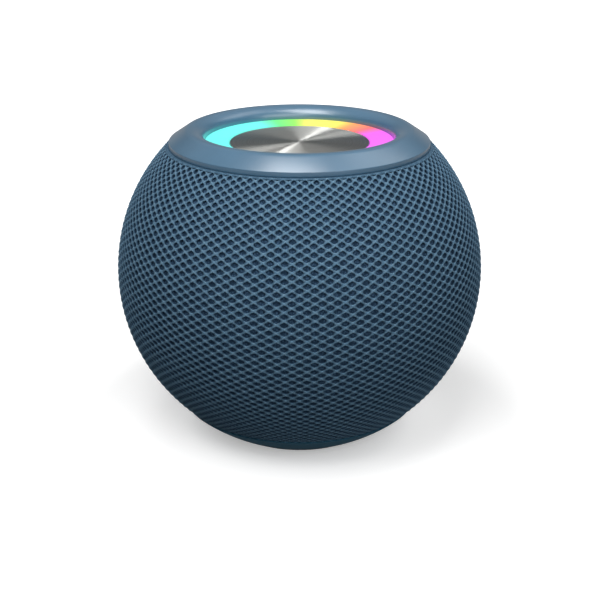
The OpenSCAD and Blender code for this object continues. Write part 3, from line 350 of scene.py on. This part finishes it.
def from_opening(point):
    """How far a point on the cover is outside the rear opening, and its way there in the panel's frame."""
    local = REAR.inverted() @ (point - BALL)
    flat = (OPENING_W - OPENING_H) / 2
    away = Vector((local.x - max(-flat, min(flat, local.x)), 0, local.z))
    inside = away.length - OPENING_H / 2 if local.y > 0 else BALL_R
    return inside, local, away


def cut_opening(bm):
    """Cuts the rear opening out of a cloth: what is inside goes, and its edge is drawn to the outline."""
    gone = {v for v in bm.verts if from_opening(v.co)[0] < 0}
    bmesh.ops.delete(bm, geom=[f for f in bm.faces if all(v in gone for v in f.verts)], context="FACES")
    for v in [v for v in gone if v.is_valid]:
        inside, local, away = from_opening(v.co)
        r = local.length
        moved = local - away.normalized() * inside
        moved.y = sqrt(r * r - moved.x ** 2 - moved.z ** 2)
        v.co = BALL + REAR @ moved


def round_holes(holes):
    """Rounds each diamond hole: its corners come in and the middles of its sides go out to an oval."""
    for f in holes:
        if len(f.verts) != 8:
            continue
        centre = f.calc_center_median()
        reach = [(v.co - centre).length for v in f.verts]
        first = reach.index(max(reach)) % 2
        ring = [v.co - centre for v in f.verts]
        for i, v in enumerate(f.verts):
            if i % 2 == first:
                ring[i] = ring[i] * (0.68 if reach[i] > 0.8 * max(reach) else 0.98)
        for i, v in enumerate(f.verts):
            if i % 2 != first:
                ring[i] = (ring[i - 1] + ring[(i + 1) % 8]) * 0.7
            v.co = centre + ring[i]


def knit_ring():
    """Open knit of oval holes between diagonal ribs with raised crossings, cut from one grid."""
    bm = bmesh.new()
    bmesh.ops.create_grid(bm, x_segments=COLUMNS, y_segments=ROWS, size=0.5)
    bmesh.ops.poke(bm, faces=bm.faces[:])
    for v in bm.verts:
        v.co = on_ball(2 * pi * v.co.x, PHI_LOW + (PHI_TOP - PHI_LOW) * (v.co.y + 0.5), 0.0)
    bmesh.ops.remove_doubles(bm, verts=bm.verts[:], dist=0.01 * MM)
    # The middles of the grid's squares have four edges; edges that miss them are the grid's own
    grid_edges = [e for e in bm.edges if len(e.link_faces) == 2 and min(len(v.link_edges) for v in e.verts) > 4]
    bmesh.ops.dissolve_edges(bm, edges=grid_edges)
    bmesh.ops.bisect_edges(bm, edges=bm.edges[:], cuts=1)
    # Crossings of the yarn stand over the ribs between them
    for v in bm.verts:
        way = v.co - BALL
        v.co = BALL + way.normalized() * (BALL_R if len(v.link_edges) > 2 else BALL_R - RIB_DIP)
    bm.normal_update()
    holes = bm.faces[:]
    bmesh.ops.inset_individual(bm, faces=holes, thickness=0.2 * MM, depth=-0.05 * MM)
    bmesh.ops.inset_individual(bm, faces=holes, thickness=0.14 * MM, depth=-0.14 * MM)
    round_holes(holes)
    bmesh.ops.inset_individual(bm, faces=holes, thickness=0.05 * MM, depth=-0.4 * MM)
    bmesh.ops.delete(bm, geom=holes, context="FACES")
    cut_opening(bm)
    bmesh.ops.recalc_face_normals(bm, faces=bm.faces[:])
    return bm


whole_knit = knit_ring()
halves = []
for name, half, behind in (("knit_back", whole_knit.copy(), True), ("knit_front", whole_knit, False)):
    bmesh.ops.delete(half, geom=[f for f in half.faces if (f.calc_center_median().y > 0) != behind],
        context="FACES")
    halves.append(finish_piece(name, half, finishes["knit"]))


def turned(profile, steps=128, closed=False):
    """Bmesh turned about the speaker's axis from a line of (radius, height) points."""
    bm = bmesh.new()
    line = [bm.verts.new((r, 0, z)) for r, z in profile]
    wires = [bm.edges.new(pair) for pair in zip(line, line[1:] + line[:1] * closed)]
    bmesh.ops.spin(bm, geom=line + wires, cent=(0, 0, 0), axis=(0, 0, 1), angle=2 * pi, steps=steps,
        use_merge=True)
    bmesh.ops.recalc_face_normals(bm, faces=bm.faces[:])
    return bm


latitudes = [PHI_LOW + (PHI_TOP - PHI_LOW) * i / 64 for i in range(65)]
bm = turned([(-p.y, p.z) for p in (on_ball(0, phi, LINING_MM) for phi in latitudes)], 160)
cut_opening(bm)
lining = finish_piece("lining", bm, lining_cloth)
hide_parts("fabric_cover")


def folded_edge(phi, side):
    """Section of the cloth's edge folded flat inwards; side is 1 at the top edge and -1 at the low one."""
    under_mm = 0.08
    bend = 0.25 * MM
    strip = 0.4 * MM
    turn_in = 1.3 * MM
    end = on_ball(pi / 2, phi, under_mm)
    mid_r, mid_z = end.x - bend, end.z - side * (bend + 0.02 * MM)
    first = on_ball(pi / 2, phi - side * strip / BALL_R, under_mm)
    turns = (radians(30 + 15 * i) for i in range(5))
    fold = [(mid_r + bend * cos(a), mid_z + side * bend * sin(a)) for a in turns]
    return [(first.x, first.z), *fold, (mid_r - turn_in, mid_z + side * bend)]


hems = [finish_piece(name, turned(folded_edge(phi, side)), shaded_folded_cloth)
    for name, phi, side in (("top_hem", PHI_TOP, 1), ("low_hem", PHI_LOW, -1))]


def opening_outline(bm, grow_mm, depth_mm):
    """Outline round the rear opening at a distance from it and a depth under the ball's surface."""
    ring = bmesh.ops.create_circle(bm, segments=72, radius=OPENING_H / 2 + grow_mm * MM,
        matrix=Matrix.Rotation(pi / 72, 4, "Z"))["verts"]
    for v in ring:
        v.co.x += copysign((OPENING_W - OPENING_H) / 2, v.co.x)
    edges = list({e for v in ring for e in v.link_edges})
    straight = [e for e in edges if e.calc_length() > 5 * MM]
    cut = bmesh.ops.bisect_edges(bm, edges=straight, cuts=24)["geom_split"]
    edges = {e for e in edges + cut if e.is_valid and isinstance(e, bmesh.types.BMEdge)}
    r = BALL_R - depth_mm * MM
    for v in {v for e in edges for v in e.verts}:
        x, z = v.co.x, v.co.y
        v.co = BALL + REAR @ Vector((x, sqrt(r * r - x * x - z * z), z))
    return list(edges)


# The rear hem bulges over the knit's cut edge and then turns in, as (distance, depth) in mm
bm = bmesh.new()
outlines = [opening_outline(bm, grow, depth)
    for grow, depth in ((0.9, 0.12), (0.6, 0.02), (0.3, 0.03), (0.1, 0.14), (0.02, 0.36), (0.0, 1.0))]
for outer, inner in zip(outlines, outlines[1:]):
    bmesh.ops.bridge_loops(bm, edges=outer + inner)
bmesh.ops.recalc_face_normals(bm, faces=bm.faces[:])
hems.append(finish_piece("rear_hem", bm, shaded_folded_cloth))


# ---------- Bezel ----------

RIM_Z = 79.52 * MM
BEZEL_R = 34.3 * MM
SKIRT_H = 1.3 * MM
CREST_R = 28.7 * MM
CREST_H = 4.5 * MM
CREST_ROUND = 2.8 * MM
LIP_R = 25.0 * MM
LIP_ROUND = 2.6 * MM
STEEP = radians(43)
LIP_UNDER = 0.6 * MM
POCKET_R = 27.2 * MM
HOOK = Vector((1.2, 8, 2.7)) * MM
HOOK_R = 29.93 * MM
HOOK_BARB = 1.1 * MM


def bezel_section():
    """Section of the bezel: skirt, outer slope, rounded crest, inner slope that steepens, rounded lip."""
    across, up = BEZEL_R - CREST_R, SKIRT_H - (CREST_H - CREST_ROUND)
    slope = atan2(up, across) + acos(CREST_ROUND / hypot(across, up))
    dish_round = (CREST_R - LIP_R - LIP_ROUND * (1 - sin(STEEP))) / sin(STEEP)
    lip_z = CREST_H - dish_round + (dish_round - LIP_ROUND) * cos(STEEP)

    def arc(r, z, radius, first, last, steps):
        turns = (first + (last - first) * i / steps for i in range(steps + 1))
        return [(r + radius * cos(a), z + radius * sin(a)) for a in turns]

    # The gap of 3 degrees keeps the last arc from starting on the point before it
    return [(POCKET_R, 0), (BEZEL_R, 0), (BEZEL_R, SKIRT_H),
        *arc(CREST_R, CREST_H - CREST_ROUND, CREST_ROUND, slope, radians(87), 10),
        *arc(CREST_R, CREST_H - dish_round, dish_round, pi / 2, pi / 2 + STEEP, 16),
        *arc(LIP_R + LIP_ROUND, lip_z, LIP_ROUND, pi / 2 + STEEP + radians(3), pi, 12),
        (LIP_R, LIP_UNDER), (POCKET_R, LIP_UNDER)]


bm = bmesh.new()
line = [bm.verts.new((r, 0, RIM_Z + z)) for r, z in bezel_section()]
wires = [bm.edges.new(pair) for pair in zip(line, line[1:] + line[:1])]
# The skirt's two corners and the lip's foot are slightly rounded, as on any moulding
bmesh.ops.bevel(bm, geom=[line[1], line[2], line[-3]], offset=0.12 * MM, segments=4, profile=0.5,
    affect="VERTICES", material=-1)
bmesh.ops.spin(bm, geom=bm.verts[:] + bm.edges[:], cent=(0, 0, 0), axis=(0, 0, 1), angle=2 * pi, steps=192,
    use_merge=True)
bmesh.ops.recalc_face_normals(bm, faces=bm.faces[:])
# Each hook is a tongue that hangs down, with a barb at its foot
barb = Vector((HOOK.x + HOOK_BARB, HOOK.y, HOOK.x))
for turn in range(4):
    for size, r, z in ((HOOK, HOOK_R - HOOK.x / 2, -HOOK.z / 2),
            (barb, HOOK_R + (HOOK_BARB - HOOK.x) / 2, HOOK.x / 2 - HOOK.z)):
        place = Matrix.Rotation(turn * pi / 2, 4, "Z") @ Matrix.Translation((r, 0, RIM_Z + z))
        bmesh.ops.create_cube(bm, size=1, matrix=place @ Matrix.Diagonal((*size, 1)))
bezel = finish_piece("bezel", bm, finishes["bezel_plastic"])
bezel.data.set_sharp_from_angle(angle=radians(50))
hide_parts("top_bezel")


# ---------- Voice coil ----------

WIRE = 0.25 * MM
TURNS = 17
coil_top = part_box("voice_coil")[1]
former_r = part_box("coil_former")[1].x


def wound_section():
    """Section of the coil, whose turns of wire show down its outside."""
    foot = coil_top.z - TURNS * WIRE
    round_wire = [radians(-60 + 30 * i) for i in range(5)]
    return [(former_r, foot),
        *((coil_top.x - WIRE / 2 * (1 - cos(a)), foot + WIRE * (turn + 0.5 + sin(a) / 2))
            for turn in range(TURNS) for a in round_wire),
        (former_r, coil_top.z)]


coil = finish_piece("wound_coil", turned(wound_section(), 96, closed=True), finishes["copper_wire"],
    "driver_diaphragm")
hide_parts("voice_coil")


# ---------- Floor, light and camera ----------

def white_paper():
    """White paper: the camera sees it as white, and the speaker's soft shadow stays on it, its edge shaped by
    painted glow.
    """
    material = bpy.data.materials.new("white_paper")
    material.use_nodes = True
    tree = material.node_tree
    tree.nodes.clear()
    rays = add(tree, "LightPath")
    # Gloss shows the sheet a little greyer, because its own light and the lamps' would add up past white
    seen = add(tree, "Math", {0: rays.outputs["Is Glossy Ray"], 1: 0.22, 2: rays.outputs["Is Camera Ray"]},
        operation="MULTIPLY_ADD")
    seen = add(tree, "Math", {0: seen.outputs["Value"], 1: rays.outputs["Is Transmission Ray"]},
        operation="ADD", use_clamp=True)
    # Painted shadow: the sheet's glow changes with distance from the speaker to shape the shadow's edge; white
    # far off
    away = add(tree, "VectorMath", {0: add(tree, "TexCoord").outputs["Object"]}, operation="LENGTH")
    reach = add(tree, "MapRange", {"Value": away.outputs["Value"], "From Max": 0.5})
    glow = add(tree, "ValToRGB", {"Fac": reach.outputs["Result"]},
        stops=[(0.04, "#9c9c9c"), (1.0, "#ffffff"), (0.064, "#bababa"), (0.09, "#a5a5a5"),
            (0.12, "#787878"), (0.15, "#808080")])
    paper = add(tree, "BsdfDiffuse", {"Color": colour("#f0f0f0")})
    painted_shadow_glow = add(tree, "Emission", {"Color": glow.outputs["Color"], "Strength": 1.0})
    bright = add(tree, "AddShader", {0: paper.outputs[0], 1: painted_shadow_glow.outputs[0]})
    # Little light comes back from the table, so the speaker's underside stays dark
    table = add(tree, "BsdfDiffuse", {"Color": colour("#585858")})
    both = add(tree, "MixShader", {0: seen.outputs["Value"], 1: table.outputs[0], 2: bright.outputs[0]})
    add(tree, "OutputMaterial", {"Surface": both.outputs[0]})
    return material


# The paper lies flat round the speaker and sweeps up far behind it on every side
FLAT_R = 1.5
SWEEP_R = 0.5
sweep = [(FLAT_R + SWEEP_R * sin(a), SWEEP_R * (1 - cos(a))) for a in (pi / 16 * i for i in range(1, 9))]
smooth_object("floor", turned([(0, 0), (0.1, 0), (0.5, 0), (FLAT_R, 0), *sweep], 64), white_paper())

world = bpy.data.worlds.new("studio")
scene.world = world
world.use_nodes = True
tree = world.node_tree
tree.nodes.clear()
# The ceiling is a pale cloth, and the room is darker near the horizon; the camera sees it all as white
direction = add(tree, "SeparateXYZ", {"Vector": add(tree, "TexCoord").outputs["Generated"]})
height = add(tree, "MapRange", {"Value": direction.outputs["Z"], "From Min": 0.25, "From Max": 0.6,
    "To Min": 0.1, "To Max": 0.38}, interpolation_type="SMOOTHSTEP")
seen = add(tree, "Math", {0: height.outputs["Result"], 1: add(tree, "LightPath").outputs["Is Camera Ray"]},
    operation="MAXIMUM")
room = add(tree, "Background", {"Color": (1, 1, 1, 1), "Strength": seen.outputs["Value"]})
add(tree, "OutputWorld", {"Surface": room.outputs[0]})


def softbox(name, size, towards, reach, power):
    """Oblong lamp in a direction from the ball's centre, which it faces."""
    data = bpy.data.lights.new(name, "AREA")
    data.shape = "RECTANGLE"
    data.size, data.size_y = size
    data.energy = power
    lamp = bpy.data.objects.new(name, data)
    way = Vector(towards).normalized()
    lamp.location = BALL + way * reach
    lamp.rotation_euler = (-way).to_track_quat("-Z", "Y").to_euler()
    scene.collection.objects.link(lamp)
    return lamp


softbox("overhead", (0.36, 0.62), (-0.15, -0.37, 0.92), 0.7, 4.3)
softbox("front", (0.9, 0.5), (0.36, -1.0, 0.5), 0.9, 3.0)
softbox("right", (0.4, 0.4), (0.55, 0.20, 0.81), 0.7, 0.6)
# A lamp behind is flagged off the top, so it only lifts the cloth and the keys out of the dark at the back
below_the_bezel = bpy.data.collections.new("below_the_bezel")
for piece in [*nodes.values(), *halves, *hems, lining]:
    if piece not in (nodes["touch_disc"], nodes["light_ring"]):
        below_the_bezel.objects.link(piece)
back = softbox("back", (0.7, 0.4), (0.0, 1.0, 0.2), 0.8, 2.2)
back.light_linking.receiver_collection = below_the_bezel
# Two lamps are flagged off all but the disc, so they draw its streak and its pale half and no spots on the paint
disc_only = bpy.data.collections.new("disc_only")
disc_only.objects.link(nodes["touch_disc"])
for name, size, towards, power in (("streak", 0.05, (-0.188, 0.47, 0.862), 1.15),
        ("pale_half", 0.35, (-0.6, 0.5, 0.62), 2.6)):
    lamp = softbox(name, (size, size), towards, 0.7, power)
    lamp.light_linking.receiver_collection = disc_only

# The camera stands a little above the speaker, and a long lens keeps the ball round
camera_data = bpy.data.cameras.new("camera")
camera_data.lens = 80.2
camera_data.sensor_width = 36
camera = bpy.data.objects.new("camera", camera_data)
tilt = radians(18.78)
reach = 0.3636
camera.location = BALL + Vector((0, -reach * cos(tilt), reach * sin(tilt)))
camera.rotation_euler = (pi / 2 - tilt - radians(1.43), 0, -radians(0.02))
scene.collection.objects.link(camera)
scene.camera = camera
scene.view_settings.view_transform = "Standard"
